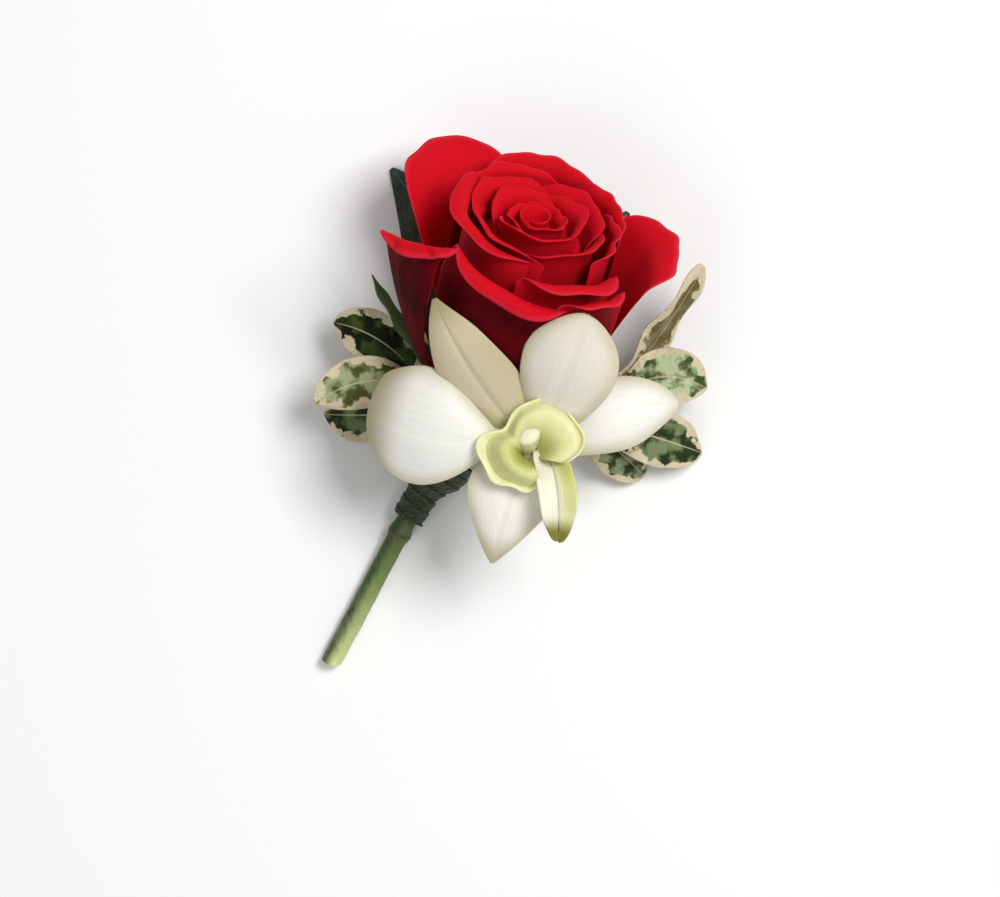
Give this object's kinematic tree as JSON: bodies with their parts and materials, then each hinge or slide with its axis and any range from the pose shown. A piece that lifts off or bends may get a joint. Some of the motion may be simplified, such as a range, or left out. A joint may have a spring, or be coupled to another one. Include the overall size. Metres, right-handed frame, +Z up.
{
  "type": "boutonniere",
  "caption": "Boutonniere lying on its back: an open red rose and a white dendrobium orchid with variegated pittosporum and dark leaves, bound with green stem wrap tape.",
  "frame": {"origin": "on the surface that the boutonniere lies on, under the middle of its bounding box", "axes": "+Z up from that surface, out of the front of the flowers; +Y along the boutonniere from the cut stem towards the rose; +X to the right seen from the front"},
  "size_m": [0.0676, 0.0908, 0.0447],
  "materials": {
    "rose_petal": "velvety fresh petal, crimson with darker folds",
    "green_stem": "smooth waxy green stem and sepals",
    "orchid_petal": "waxy white petal with beige shade towards the tips",
    "orchid_lip": "waxy pale yellow-green petal with a darker throat",
    "orchid_stalk": "smooth pale green stalk",
    "stem_wrap": "stretched waxed crepe tape, dark green",
    "variegated_leaf": "leathery grey-green leaf with a cream margin",
    "dark_leaf": "glossy dark green leaf"
  },
  "bodies": {
    "root": {"rose_bloom": "rose_petal", "rose_stem": "green_stem", "orchid_tepals": "orchid_petal", "orchid_lip": "orchid_lip", "orchid_pedicel": "orchid_stalk", "stem_tape": "stem_wrap", "pittosporum_left": "variegated_leaf", "pittosporum_right": "variegated_leaf", "backing_leaf_left": "dark_leaf", "backing_leaf_middle": "dark_leaf", "backing_leaf_right": "dark_leaf"}
  },
  "joints": []
}
